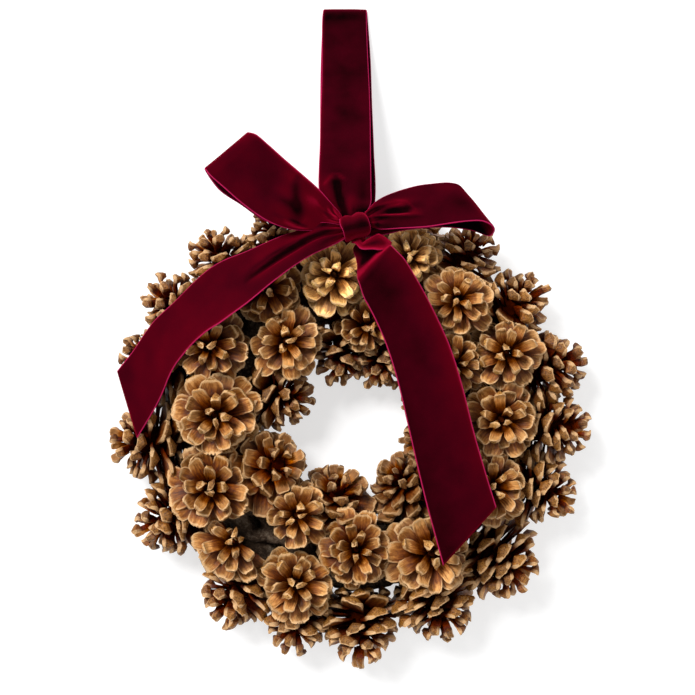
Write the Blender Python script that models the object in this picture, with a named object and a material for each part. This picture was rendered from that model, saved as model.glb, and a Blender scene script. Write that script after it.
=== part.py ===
"""Pinecone wreath with a velvet ribbon bow, lying on its back with its front up (+Z).

A flat-backed base ring carries three rows of open pine cones: an outer row that points outwards,
a front row that stands on the ring and an inner row that points into the centre hole. A ribbon
goes round the ring at twelve o'clock, rises to a knot with two bow loops and two tails, and
runs on past the wreath as a hanging loop. +Y is towards the hanging loop. A clock angle is
counted clockwise from +Y, as on a clock face. Sizes below are in millimetres.
"""

import math

import bmesh
import bpy
from mathutils import Matrix, Vector
from mathutils.bvhtree import BVHTree

MM = 0.001
GAP = 0.3  # clearance between pieces that touch in the real wreath

# Base ring: a flattened round section with a flat back, turned about the wreath's centre.
RING_RADIUS = 99
RING_HALF_WIDTH = 25
RING_HALF_HEIGHT = 18
RING_BACK = 2.0  # height of the flat back above the surface that the wreath lies on
RING_STEPS = 48
SECTION_STEPS = 14

# Pine cones: height and radius of each tier, as shares of the cone's length and half width.
CONE_TIERS = (
    (0.00, 0.12),
    (0.07, 0.62),
    (0.22, 1.00),
    (0.33, 0.74),
    (0.46, 0.94),
    (0.58, 0.60),
    (0.74, 0.66),
    (0.84, 0.40),
    (1.00, 0.34),
)
CONE_SIDES = 12
NOTCH = 0.87  # radius between two scales, as a share of the radius at a scale
STEM_SHARE = CONE_TIERS[0][1]

# Outer cones: clock angle, radius and height of the tip, and diameter.
OUTER_SEAT_ANGLE = 18
OUTER_CONES = (
    (17, 172, 33, 49),
    (35, 173, 36, 51),
    (54, 174, 34, 53),
    (74, 179, 33, 52),
    (91, 176, 37, 51),
    (109, 173, 34, 51),
    (132, 173, 36, 58),
    (154, 170, 38, 56),
    (177, 174, 37, 56),
    (195, 172, 34, 51),
    (214, 174, 33, 51),
    (242, 173, 36, 53),
    (265, 174, 37, 56),
    (288, 176, 33, 51),
    (304, 178, 34, 51),
    (322, 178, 33, 51),
    (339, 169, 33, 49),
)
# Front and inner cones: clock angle, radius and height of the tip, clock angle and section
# angle of the seat (0 outermost, 90 at the front, 180 innermost), and diameter.
FRONT_CONES = (
    (354, 109, 86, 355, 86, 51),
    (19, 127, 78, 20, 25, 44),
    (39, 116, 84, 42, 48, 48),
    (64, 121, 84, 66, 28, 51),
    (87, 104, 86, 87, 71, 52),
    (110, 107, 86, 116, 71, 50),
    (145, 103, 86, 150, 77, 57),
    (176, 82, 86, 178, 115, 49),
    (199, 112, 84, 199, 38, 50),
    (210, 68, 82, 212, 150, 46),
    (227, 109, 82, 223, 26, 50),
    (247, 103, 86, 246, 72, 56),
    (275, 91, 88, 276, 97, 56),
    (299, 112, 83, 302, 58, 51),
    (324, 73, 83, 323, 150, 52),
    (329, 114, 86, 330, 66, 48),
    (14, 68, 71, 4, 150, 40),
    (60, 84, 76, 59, 117, 42),
)
INNER_CONES = (
    (347, 27, 33, 357, 163, 44),
    (42, 33, 33, 20, 163, 42),
    (73, 44, 38, 73, 160, 44),
    (103, 40, 36, 103, 163, 44),
    (135, 39, 49, 139, 158, 47),
    (191, 31, 51, 191, 158, 50),
    (243, 46, 69, 241, 142, 49),
    (297, 29, 36, 291, 163, 47),
)

# Ribbon: one edge to the other at each station, from the knot outwards, as (x, y, z) pairs.
RIBBON_THICKNESS = 1.2
# Hanging loop's front: left and right edge x, y and height of the middle of the ribbon.
HANGER_FRONT = (
    (-14.5, 10, 129, 39),
    (-13.5, 11, 131, 51),
    (-13.5, 12, 134.5, 63.5),
    (-14.5, 13.5, 141, 73),
    (-19, 15.5, 153.5, 71.5),
    (-22, 16.5, 166.5, 65.5),
    (-22, 18, 182, 58),
    (-22, 18, 200, 48),
    (-22, 18, 226.5, 33.5),
    (-22, 16.5, 255.5, 19),
    (-21, 14.5, 283.5, 9),
    (-21, 14.5, 301, 4.5),
)
HANGER_FOLD_Y = 308
HANGER_FOLD_RADIUS = 1.5
HANGER_WRAP = (-14, 10)  # the ribbon is gathered narrower where it goes round the ring
HANGER_BACK = (
    (-21, 14.5, 278),
    (-22, 18, 211),
    (-22, 18, 155.5),
    (-14.5, 10, 122),
)
BOW_LOOP_LEFT = (
    ((-7.5, 140, 91), (-6, 132, 90)),
    ((-16.5, 150, 93.5), (-32, 135, 88)),
    ((-21, 162, 93.5), (-45.5, 136, 93.5)),
    ((-40, 179, 92), (-55.5, 140, 100)),
    ((-53.5, 190, 93.5), (-72, 151, 106.5)),
    ((-64.5, 199, 95.5), (-93.5, 171, 111)),
    ((-65.5, 199, 91), (-94.5, 170, 106.5)),
    ((-52, 186.5, 83.5), (-78, 153.5, 93.5)),
    ((-39, 175.5, 80), (-58, 139, 84.5)),
    ((-22, 160, 80), (-38, 134.5, 80)),
    ((-7.5, 141, 84.5), (-6, 132, 84.5)),
)
BOW_LOOP_RIGHT = (
    ((12, 144, 91), (15, 137, 92)),
    ((19, 154.5, 86.5), (23.5, 134.5, 95.5)),
    ((30, 160, 82), (32, 134, 100)),
    ((44.5, 165.5, 78), (46.5, 134.5, 104.5)),
    ((58, 168, 75.5), (62, 136, 105.5)),
    ((71, 166.5, 78), (79, 138, 106.5)),
    ((76.5, 163.5, 79), (92, 134.5, 104.5)),
    ((76.5, 162, 74.5), (94.5, 130.5, 99)),
    ((66.5, 163.5, 66.5), (81, 133.5, 86.5)),
    ((46.5, 162, 66.5), (55.5, 134.5, 82)),
    ((28, 154.5, 73.5), (33.5, 133.5, 82)),
    ((12, 144, 84.5), (15.5, 136, 85.5)),
)
RIBBON_TAIL_LEFT = (
    ((-7.5, 138.5, 94), (-4.5, 127.5, 94)),
    ((-19, 139, 98), (-14.5, 123.5, 99)),
    ((-34.5, 133.5, 94.5), (-24.5, 116.5, 99)),
    ((-48, 129, 86.5), (-34.5, 110, 98)),
    ((-63.5, 123.5, 79), (-46.5, 102, 96.5)),
    ((-78, 119, 72), (-60, 91, 96.5)),
    ((-92, 112, 69), (-74.5, 78, 95.5)),
    ((-105.5, 103.5, 63.5), (-89, 69, 91)),
    ((-122, 89, 58), (-104.5, 61, 86.5)),
    ((-140, 72, 53.5), (-115.5, 50, 82)),
    ((-152, 58, 49), (-122, 38, 73.5)),
    ((-160, 48, 44), (-131, 21, 65.5)),
    ((-168, 39, 39.5), (-149, -9, 58)),
)
RIBBON_TAIL_RIGHT = (
    ((4, 125.5, 91), (13.5, 131, 89)),
    ((8, 122, 94.5), (21, 130, 92)),
    ((5.5, 102, 98), (28, 124.5, 98)),
    ((10, 88, 99), (41, 105.5, 93.5)),
    ((18, 73.5, 98), (52, 89, 90)),
    ((23.5, 58, 96.5), (62, 68, 89)),
    ((30, 33.5, 95.5), (71, 44.5, 91)),
    ((36.5, 6.5, 94.5), (80, 14.5, 93.5)),
    ((43.5, -21, 93.5), (86.5, -12, 94.5)),
    ((50, -48, 93.5), (93.5, -38, 95.5)),
    ((62, -90, 93.5), (96.5, -50, 95.5)),
)
# Knot: its outline seen from the front, and its levels as (height, share of the outline).
KNOT_OUTLINE = (
    (-6.5, 140),
    (2, 144.5),
    (8, 145),
    (14, 137),
    (13.5, 134),
    (6.5, 128),
    (-3.5, 128),
)
KNOT_LEVELS = ((74.5, 0.75), (79, 1.0), (95.5, 1.0), (100, 0.7))

CONE_COLOURS = ((0.42, 0.25, 0.11), (0.36, 0.20, 0.09), (0.30, 0.17, 0.08))
RING_COLOUR = (0.07, 0.055, 0.045)
VELVET_COLOUR = (0.16, 0.004, 0.02)


def on_clock(clock, radius, height):
    """The point at a clock angle, a distance from the wreath's centre and a height."""
    angle = math.radians(clock)
    return Vector((radius * math.sin(angle), radius * math.cos(angle), height))


def on_ring(clock, section_angle, proud=0.0):
    """A point on the ring's skin, or that far off it."""
    angle = math.radians(section_angle)
    radius = RING_RADIUS + (RING_HALF_WIDTH + proud) * math.cos(angle)
    height = RING_HALF_HEIGHT + (RING_HALF_HEIGHT + proud) * math.sin(angle)
    return on_clock(clock, radius, height)


def skin(mesh, rows, closed_rows=False):
    """Faces between rows of points, each a closed ring, capped unless the rows close up."""
    rings = [[mesh.verts.new(point) for point in row] for row in rows]
    pairs = list(zip(rings, rings[1:]))
    if closed_rows:
        pairs.append((rings[-1], rings[0]))
    for low, high in pairs:
        for k in range(len(low)):
            following = (k + 1) % len(low)
            mesh.faces.new((low[k], low[following], high[following], high[k]))
    if not closed_rows:
        mesh.faces.new(reversed(rings[0]))
        mesh.faces.new(rings[-1])
    bmesh.ops.triangulate(mesh, faces=mesh.faces)
    bmesh.ops.recalc_face_normals(mesh, faces=mesh.faces)
    return mesh


def base_ring():
    """The flat-backed ring that every cone is glued to."""
    flat_angle = math.degrees(math.asin((RING_BACK - RING_HALF_HEIGHT) / RING_HALF_HEIGHT))
    first, last = flat_angle, 180 - flat_angle
    angles = [first + (last - first) * k / SECTION_STEPS for k in range(SECTION_STEPS + 1)]
    rows = [
        [on_ring(360 * step / RING_STEPS, angle) for angle in angles]
        for step in range(RING_STEPS)
    ]
    return skin(bmesh.new(), rows, closed_rows=True)


def strap(stations, closed=False):
    """A ribbon of even thickness through pairs of edge points."""
    count = len(stations)
    middles = [(left + right) / 2 for left, right in stations]
    rows = []
    for k, (left, right) in enumerate(stations):
        before = middles[(k - 1) % count if closed else max(k - 1, 0)]
        after = middles[(k + 1) % count if closed else min(k + 1, count - 1)]
        up = (right - left).cross(after - before).normalized() * (RIBBON_THICKNESS / 2)
        rows.append([left + up, right + up, right - up, left - up])
    return skin(bmesh.new(), rows, closed_rows=closed)


def edge_pairs(rows):
    return [(Vector(left), Vector(right)) for left, right in rows]


def hanging_loop():
    """The ribbon from the knot to the top fold, back along the surface and round the ring."""
    stations = [
        (Vector((left, y, height)), Vector((right, y, height)))
        for left, right, y, height in HANGER_FRONT
    ]
    low = RIBBON_THICKNESS / 2
    left, right = HANGER_FRONT[-1][:2]
    for turn in (60, 0, -60):
        angle = math.radians(turn)
        y = HANGER_FOLD_Y + HANGER_FOLD_RADIUS * math.cos(angle)
        height = low + HANGER_FOLD_RADIUS * (1 + math.sin(angle))
        stations.append((Vector((left, y, height)), Vector((right, y, height))))
    for left, right, y in HANGER_BACK:
        stations.append((Vector((left, y, low)), Vector((right, y, low))))
    left, right = HANGER_WRAP
    for angle in (248, 236, 222, 203, 180, 157, 135, 112, 90, 68, 45, 26):
        y = RING_RADIUS + (RING_HALF_WIDTH + 3.4) * math.cos(math.radians(angle))
        height = RING_HALF_HEIGHT + (RING_HALF_HEIGHT + 2.4) * math.sin(math.radians(angle))
        height = max(height, low)
        stations.append((Vector((left, y, height)), Vector((right, y, height))))
    return strap(stations, closed=True)


def bow_knot():
    centre = sum((Vector(point) for point in KNOT_OUTLINE), Vector((0, 0)))
    centre /= len(KNOT_OUTLINE)
    rows = []
    for height, share in KNOT_LEVELS:
        ring = [centre + (Vector(point) - centre) * share for point in KNOT_OUTLINE]
        rows.append([Vector((x, y, height)) for x, y in reversed(ring)])
    return skin(bmesh.new(), rows)


class Cone:
    """One pine cone: its seat, its axis and its size."""

    def __init__(self, name, tip, nominal_seat, diameter, ground):
        self.name = name
        self.half = diameter / 2
        self.axis = (tip - nominal_seat).normalized()
        # Slide the cone down its axis until its stem end is a gap away from what carries it.
        hit, normal, _, _ = ground.ray_cast(tip, -self.axis)
        lean = max(self.axis.dot(normal), 0.5)
        edge = self.half * STEM_SHARE * math.sqrt(1 - lean**2) / lean
        self.faces = [(hit + normal * GAP, normal)]
        self.seat = hit + self.axis * (edge + GAP / lean)
        self.length = (tip - self.seat).length

    def point(self, share):
        return self.seat + self.axis * (self.length * share)

    def body(self, spin):
        """Rings of scale tips and notches, each tier turned by half a scale."""
        across = self.axis.orthogonal().normalized()
        other = self.axis.cross(across)
        rows = []
        for tier, (share, width) in enumerate(CONE_TIERS):
            row = []
            for k in range(CONE_SIDES):
                angle = 2 * math.pi * k / CONE_SIDES + spin
                radius = self.half * width * (NOTCH if (k + tier // 2) % 2 else 1)
                offset = across * math.cos(angle) + other * math.sin(angle)
                row.append(self.point(share) + offset * radius)
            rows.append(row)
        return skin(bmesh.new(), rows)


def parting_plane(one, other):
    """The plane between two cones where they press together hardest, or None if they don't."""
    best = None
    for share_a, width_a in CONE_TIERS[1:]:
        for share_b, width_b in CONE_TIERS[1:]:
            a, b = one.point(share_a), other.point(share_b)
            radius_a, radius_b = one.half * width_a, other.half * width_b
            room = (b - a).length - radius_a - radius_b
            if best is None or room < best[0]:
                best = (room, a, b, radius_a / (radius_a + radius_b))
    room, a, b, part = best
    if room > 1:
        return None
    return a.lerp(b, part), (b - a).normalized()


def cut(mesh, point, normal):
    """Keep what lies on the far side of the plane from its normal, and close the cut."""
    geometry = mesh.verts[:] + mesh.edges[:] + mesh.faces[:]
    result = bmesh.ops.bisect_plane(
        mesh, geom=geometry, dist=1e-5, plane_co=point, plane_no=normal, clear_outer=True
    )
    edges = [item for item in result["geom_cut"] if isinstance(item, bmesh.types.BMEdge)]
    if edges:
        bmesh.ops.holes_fill(mesh, edges=edges, sides=0)
        bmesh.ops.triangulate(mesh, faces=mesh.faces)
        bmesh.ops.recalc_face_normals(mesh, faces=mesh.faces)


def cone_rows(ground):
    """Every cone of the wreath, from its row of the lists above."""
    cones = []
    for k, (clock, radius, height, diameter) in enumerate(OUTER_CONES):
        tip = on_clock(clock, radius, height)
        seat = on_ring(clock, OUTER_SEAT_ANGLE)
        cones.append(Cone(f"outer_cone_{k + 1:02d}", tip, seat, diameter, ground))
    for label, rows in (("front", FRONT_CONES), ("inner", INNER_CONES)):
        for k, (clock, radius, height, seat_clock, seat_angle, diameter) in enumerate(rows):
            tip = on_clock(clock, radius, height)
            seat = on_ring(seat_clock, seat_angle)
            cone = Cone(f"{label}_cone_{k + 1:02d}", tip, seat, diameter, ground)
            if seat_angle > 90:
                # The ring curves up round a cone on its inner side.
                for turn in (-24, -12, 12, 24):
                    point = on_ring(seat_clock + turn, seat_angle, 2 * GAP)
                    core = on_clock(seat_clock + turn, RING_RADIUS, RING_HALF_HEIGHT)
                    cone.faces.append((point, (point - core).normalized()))
            cones.append(cone)
    return cones


def material(name, colour, roughness):
    made = bpy.data.materials.new(name)
    made.use_nodes = True
    shader = made.node_tree.nodes["Principled BSDF"]
    shader.inputs["Base Color"].default_value = (*colour, 1)
    shader.inputs["Roughness"].default_value = roughness
    shader.inputs["Metallic"].default_value = 0.0
    made.diffuse_color = (*colour, 1)
    return made


def add_object(name, mesh, origin, shift, colour, roughness):
    """A named object whose own origin is at a point of the wreath."""
    data = bpy.data.meshes.new(name)
    mesh.transform(Matrix.Translation(-origin))
    mesh.transform(Matrix.Scale(MM, 4))
    mesh.to_mesh(data)
    mesh.free()
    data.shade_smooth()
    data.set_sharp_from_angle(angle=math.radians(35))
    data.materials.append(material(name, colour, roughness))
    made = bpy.data.objects.new(name, data)
    made.location = (origin + shift) * MM
    bpy.context.scene.collection.objects.link(made)


for old in list(bpy.data.objects):
    bpy.data.objects.remove(old)

carriers = bmesh.new()
for piece in (base_ring(), hanging_loop()):
    data = bpy.data.meshes.new("carrier")
    piece.to_mesh(data)
    carriers.from_mesh(data)
    bpy.data.meshes.remove(data)
ground = BVHTree.FromBMesh(carriers)

cones = cone_rows(ground)
bodies = [cone.body(0.7 * k) for k, cone in enumerate(cones)]
for k, one in enumerate(cones):
    for point, normal in one.faces:
        cut(bodies[k], point, -normal)
    cut(bodies[k], Vector((0, 0, 0)), Vector((0, 0, -1)))
    for j in range(k + 1, len(cones)):
        plane = parting_plane(one, cones[j])
        if plane:
            point, normal = plane
            cut(bodies[k], point - normal * GAP / 2, normal)
            cut(bodies[j], point + normal * GAP / 2, -normal)

centre_point = Vector((0, 0, 0))
pieces = [("base_ring", base_ring(), centre_point, RING_COLOUR, 0.9)]
for k, cone in enumerate(cones):
    pieces.append((cone.name, bodies[k], cone.seat, CONE_COLOURS[k % 3], 0.65))
ribbons = (
    ("hanging_loop", hanging_loop()),
    ("bow_loop_left", strap(edge_pairs(BOW_LOOP_LEFT), closed=True)),
    ("bow_loop_right", strap(edge_pairs(BOW_LOOP_RIGHT), closed=True)),
    ("bow_knot", bow_knot()),
    ("ribbon_tail_left", strap(edge_pairs(RIBBON_TAIL_LEFT))),
    ("ribbon_tail_right", strap(edge_pairs(RIBBON_TAIL_RIGHT))),
)
knot_point = Vector((*KNOT_OUTLINE[0], KNOT_LEVELS[0][0]))
for name, mesh in ribbons:
    pieces.append((name, mesh, knot_point, VELVET_COLOUR, 0.8))

# The origin is on the surface under the middle of the whole wreath, hanging loop included.
points = [vertex.co for _, mesh, _, _, _ in pieces for vertex in mesh.verts]
low = Vector([min(point[k] for point in points) for k in range(3)])
high = Vector([max(point[k] for point in points) for k in range(3)])
shift = Vector((-(low.x + high.x) / 2, -(low.y + high.y) / 2, -low.z))
for name, mesh, origin, colour, roughness in pieces:
    add_object(name, mesh, origin, shift, colour, roughness)
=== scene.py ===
import math
import random
from functools import partial

import bmesh
import bpy
from mathutils import Matrix, Vector, noise
from mathutils.bvhtree import BVHTree


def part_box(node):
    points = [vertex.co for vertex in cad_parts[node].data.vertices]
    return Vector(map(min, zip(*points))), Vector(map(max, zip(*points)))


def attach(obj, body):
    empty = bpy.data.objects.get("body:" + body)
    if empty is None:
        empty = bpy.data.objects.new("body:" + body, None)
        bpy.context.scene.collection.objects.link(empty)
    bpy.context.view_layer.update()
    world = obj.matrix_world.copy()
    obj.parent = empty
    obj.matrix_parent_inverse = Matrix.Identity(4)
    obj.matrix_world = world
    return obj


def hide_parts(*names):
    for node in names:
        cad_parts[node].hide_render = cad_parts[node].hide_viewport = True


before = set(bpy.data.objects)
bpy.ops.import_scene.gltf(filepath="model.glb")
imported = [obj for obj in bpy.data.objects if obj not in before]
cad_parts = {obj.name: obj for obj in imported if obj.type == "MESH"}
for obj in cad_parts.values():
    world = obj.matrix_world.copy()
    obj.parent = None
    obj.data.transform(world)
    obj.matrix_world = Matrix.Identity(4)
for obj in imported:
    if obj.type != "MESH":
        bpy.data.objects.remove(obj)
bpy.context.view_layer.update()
MM = 0.001  # lengths are written in millimetres, and times MM they are in metres
ring_low, ring_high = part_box("base_ring")
WREATH_CENTRE = Vector(((ring_low[0] + ring_high[0]) / 2, (ring_low[1] + ring_high[1]) / 2, 0.0))


# ----------------------------------------
# Base ring. Real piece: woody vine twisted into a ring and pressed flat at the back. The strands
# are grey-brown bark, wound round each other; cones are glued all over it.
# ----------------------------------------
VINE_RING_RADIUS = 99.0
VINE_HALF_WIDTH = 26.0
VINE_HALF_HEIGHT = 17.0
VINE_MIDDLE = 18.0
VINE_BACK = 2.4
BARK_DARK = "#1d140c"
BARK_BROWN = "#4c3a2b"
BARK_GREY = "#94836f"


def linear(colour):
    """A hex colour as linear red, green and blue with alpha 1."""
    parts = [int(colour[k : k + 2], 16) / 255 for k in (1, 3, 5)]
    return (*[c / 12.92 if c <= 0.04045 else ((c + 0.055) / 1.055) ** 2.4 for c in parts], 1.0)


def add(tree, kind, *values, numbered=None, **others):
    """One node, with inputs in order, by name with _ for spaces, or by number.

    Kind may end with the node's operation, and a name in lower case is a setting. An input is a
    plain value, a socket to link, a node whose first output is linked, or a list of these.
    """
    kind, *operation = kind.split()
    kinds = [family + "Node" + kind for family in ("Geometry", "Function", "Shader", "")]
    node = tree.nodes.new(next(full for full in kinds if hasattr(bpy.types, full)))
    if operation:
        node.operation = operation[0]
    for name in filter(str.islower, others):
        setattr(node, name, others[name])
    pairs = list(zip(node.inputs, values))
    pairs += [(node.inputs[name.replace("_", " ")], value) for name, value in others.items()
              if not name.islower()]
    pairs += [(node.inputs[number], value) for number, value in (numbered or {}).items()]
    for socket, given in pairs:
        for value in given if isinstance(given, list) else [given]:
            if isinstance(value, bpy.types.Node):
                value = value.outputs[0]
            if isinstance(value, bpy.types.NodeSocket):
                tree.links.new(value, socket)
            elif value is not None:
                socket.default_value = value
    return node


def steps(ramp_node, stops):
    """Gives a colour ramp its stops, as (place, hex colour)."""
    ramp = ramp_node.color_ramp
    while len(ramp.elements) < len(stops):
        ramp.elements.new(1.0)
    for element, (place, colour) in zip(ramp.elements, stops):
        element.position = place
        element.color = linear(colour)
    return ramp_node


def new_material(name):
    """An empty material, and what adds a node to it."""
    material = bpy.data.materials.new(name)
    material.use_nodes = True
    material.node_tree.nodes.clear()
    return material, partial(add, material.node_tree)


def new_tree(name, **inputs):
    """A geometry tree with these inputs, by type, what adds a node to it, and the inputs."""
    tree = bpy.data.node_groups.new(name, "GeometryNodeTree")
    tree.is_modifier = True
    for kind, labels in inputs.items():
        for label in labels:
            tree.interface.new_socket(label, in_out="INPUT", socket_type="NodeSocket" + kind)
    tree.interface.new_socket("Mesh", in_out="OUTPUT", socket_type="NodeSocketGeometry")
    node = partial(add, tree)
    return tree, node, node("GroupInput").outputs


def clock_point(clock, radius, height):
    """A point in the wreath, from its clock angle, radius and height in millimetres."""
    angle = math.radians(clock)
    offset = Vector((radius * math.sin(angle), radius * math.cos(angle), height))
    return WREATH_CENTRE + offset * MM


def link(obj):
    """Puts an object in the scene."""
    bpy.context.scene.collection.objects.link(obj)
    return obj


def strips(mesh, loops):
    """Joins loops of vertices in turn with strips of facets."""
    for low, high in zip(loops, loops[1:]):
        for k in range(len(low)):
            j = (k + 1) % len(low)
            mesh.faces.new((low[k], low[j], high[j], high[k]))


def solid(name, mesh, *materials):
    """An object made of a bmesh, which is used up."""
    data = bpy.data.meshes.new(name)
    mesh.to_mesh(data)
    mesh.free()
    for material in materials:
        data.materials.append(material)
    return link(bpy.data.objects.new(name, data))


def bark_material():
    """Weathered vine bark: rough and dull, with long dark cracks between grey-brown ridges."""
    material, node = new_material("weathered vine bark")
    place = node("TexCoord").outputs["Object"]
    # Bark ridges are 2 to 3 mm apart, so noise at 380 per metre.
    ridges = node("TexNoise", Vector=place, Scale=380, Detail=6, Roughness=0.65,
                  Distortion=1.2)
    # Lichen-grey patches 10 to 15 mm across.
    patches = node("TexNoise", Vector=place, Scale=80, Detail=3, Roughness=0.6)
    both = node("Math ADD", ridges, patches)
    half = node("Math MULTIPLY", both, 0.5)
    colour = steps(node("ValToRGB", half),
                   ((0.36, BARK_DARK), (0.5, BARK_BROWN), (0.66, BARK_GREY)))
    bump = node("Bump", Strength=0.9, Distance=0.0012, Height=ridges)
    shader = node("BsdfPrincipled", Base_Color=colour, Roughness=0.85, IOR=1.45,
                  Specular_IOR_Level=0.3, Normal=bump)
    node("OutputMaterial", shader)
    return material


def vine_tree():
    """A strand that winds round the ring as a helix, thick and thin, with knots in it."""
    tree, node, given = new_tree(
        "wound vine strand", Int=["Points"], Material=["Bark"],
        Float=["Ring radius", "Half width", "Half height", "Middle height", "Lowest", "Turns",
               "Start", "Strand radius", "Seed"])
    circle = node("CurvePrimitiveCircle", given["Points"], Radius=1, mode="RADIUS")
    share = node("SplineParameter").outputs["Factor"]
    round_ring = node("Math MULTIPLY", share, 2 * math.pi)
    wound = node("Math MULTIPLY_ADD", round_ring, given["Turns"], given["Start"])
    # The strand wanders a little: noise read along the ring, so it closes on itself.
    place = node("InputPosition")
    wander = node("TexNoise", Vector=place, W=given["Seed"], Scale=3.2, Detail=2,
                  noise_dimensions="4D")
    sway = node("Math MULTIPLY", wander, 3.2)
    angle = node("Math ADD", wound, sway)
    out = node("Math COSINE", angle)
    up = node("Math SINE", angle)
    radius = node("Math MULTIPLY_ADD", out, given["Half width"], given["Ring radius"])
    height = node("Math MULTIPLY_ADD", up, given["Half height"], given["Middle height"])
    kept = node("Math MAXIMUM", height, given["Lowest"])
    sine = node("Math SINE", round_ring)
    cosine = node("Math COSINE", round_ring)
    x = node("Math MULTIPLY", sine, radius)
    y = node("Math MULTIPLY", cosine, radius)
    point = node("CombineXYZ", x, y, kept)
    path = node("SetPosition", Geometry=circle, Position=point)
    # Knots and thin stretches, about 12 mm apart along the strand.
    lumps = node("TexNoise", Vector=point, W=given["Seed"], Scale=85, Detail=3, Roughness=0.6,
                 noise_dimensions="4D")
    swell = node("MapRange", lumps, 0.3, 0.7, 0.6, 1.45)
    thick = node("Math MULTIPLY", swell, given["Strand radius"])
    rim = node("CurvePrimitiveCircle", 9, Radius=1, mode="RADIUS")
    tube = node("CurveToMesh", path, rim, Scale=thick)
    # Fibres along the bark push the skin in and out by up to 0.7 mm.
    skin = node("InputPosition")
    fibre = node("TexNoise", Vector=skin, Scale=300, Detail=2)
    push = node("MapRange", fibre, 0.3, 0.7, -0.0007, 0.0007)
    normal = node("InputNormal")
    offset = node("VectorMath SCALE", normal, Scale=push)
    rough = node("SetPosition", Geometry=tube, Offset=offset)
    plain = node("RealizeInstances", rough)
    smooth = node("SetShadeSmooth", plain)
    dressed = node("SetMaterial", smooth, Material=given["Bark"])
    node("GroupOutput", dressed)
    return tree


def grown(tree, **inputs):
    """The plain mesh that a tree makes with these inputs, whose names have _ for spaces."""
    seed_mesh = bpy.data.meshes.new("seed")
    host = link(bpy.data.objects.new("host", seed_mesh))
    modifier = host.modifiers.new("grow", "NODES")
    modifier.node_group = tree
    sockets = {item.name: item.identifier for item in tree.interface.items_tree
               if item.in_out == "INPUT"}
    for name, value in inputs.items():
        modifier[sockets[name.replace("_", " ")]] = value
    graph = bpy.context.evaluated_depsgraph_get()
    mesh = bpy.data.meshes.new_from_object(host.evaluated_get(graph),
                                           preserve_all_data_layers=True, depsgraph=graph)
    bpy.data.objects.remove(host)
    bpy.data.meshes.remove(seed_mesh)
    return mesh


bark = bark_material()
strand_tree = vine_tree()
vine = bmesh.new()
rng = random.Random(7)
# Strands as (how far out they lie, strand radius): a few inside to fill, the rest at the skin.
VINE_STRANDS = [(0.45, 7.0)] * 5 + [(0.78, 4.6)] * 11 + [(0.86, 2.6)] * 7
for number, (spread, strand) in enumerate(VINE_STRANDS):
    made = grown(
        strand_tree, Points=260, Ring_radius=VINE_RING_RADIUS * MM,
        Half_width=VINE_HALF_WIDTH * spread * MM, Half_height=VINE_HALF_HEIGHT * spread * MM,
        Middle_height=VINE_MIDDLE * MM, Lowest=(VINE_BACK + strand * 1.3) * MM,
        Turns=float(rng.choice((2, 3, 3, 4, -2, -3))), Start=number * 2.4,
        Strand_radius=strand * MM, Seed=number * 3.7, Bark=bark)
    made.transform(Matrix.Translation(WREATH_CENTRE))
    vine.from_mesh(made)
    bpy.data.meshes.remove(made)
bmesh.ops.recalc_face_normals(vine, faces=vine.faces)
vine_ring = solid("vine_ring", vine, bark)
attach(vine_ring, "root")
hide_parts("base_ring")


# ----------------------------------------
# Velvet ribbon. Real pieces: one 38 mm wide single-face velvet ribbon with woven edges, hung
# from a fold at the top, round the ring and back; the bow's loops, tails and knot are tied in
# front of it. The pile is deep burgundy and looks almost black seen straight on.
# ----------------------------------------
RIBBON_THICKNESS = 1.2
RIBBON_STEP = 1.7  # from one line of facets to the next
RIBBON_BACK = 0.7  # the middle of the ribbon above the table, where it lies on it
# The pile's colours, ramped from painted shadow in the folds through deep and middle burgundy to
# painted crimson sheen.
VELVET_SHADOW = "#080001"
VELVET_DEEP = "#34000a"
VELVET_MIDDLE = "#4c000d"
VELVET_LIT = "#8a0826"
# A painted highlight for the ribbon's edges.
PAINTED_EDGE_SHEEN = "#a31c4a"
# Each ribbon is given by rows of a point on its left edge and one on its right edge, in
# millimetres from the wreath's centre.
HANGER = (
    (-13.5, 134.5, 63.5, 12, 134.5, 63.5), (-13.5, 141, 72.5, 12, 141, 72.5),
    (-14, 148, 75, 12, 148, 75), (-18, 153, 74, 14, 152, 74),
    (-20.5, 159.5, 71.5, 15, 156.5, 71.5), (-21.5, 167.5, 67.5, 15, 166, 67.5),
    (-21.5, 179, 61.5, 15, 179, 61.5), (-21, 198.5, 51, 15, 198.5, 51),
    (-21, 222.5, 38, 15, 222.5, 38), (-20.5, 247, 26, 14.5, 247, 26),
    (-20.5, 276, 13.5, 13.5, 276, 13.5), (-20.5, 299, 5.5, 13, 299, 5.5),
    (-20, 306.5, 3.6, 13, 306.5, 3.6), (-19.5, 309, 2.2, 13, 309, 2.2),
    (-20, 306.5, 0.8, 13.5, 306.5, 0.8), (-21.5, 272, 0.7, 16, 272, 0.7),
    (-22, 242, 0.7, 17, 242, 0.7), (-22, 204, 0.7, 18.5, 204, 0.7),
    (-21.5, 166.5, 0.7, 19.5, 166.5, 0.7),
)
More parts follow.
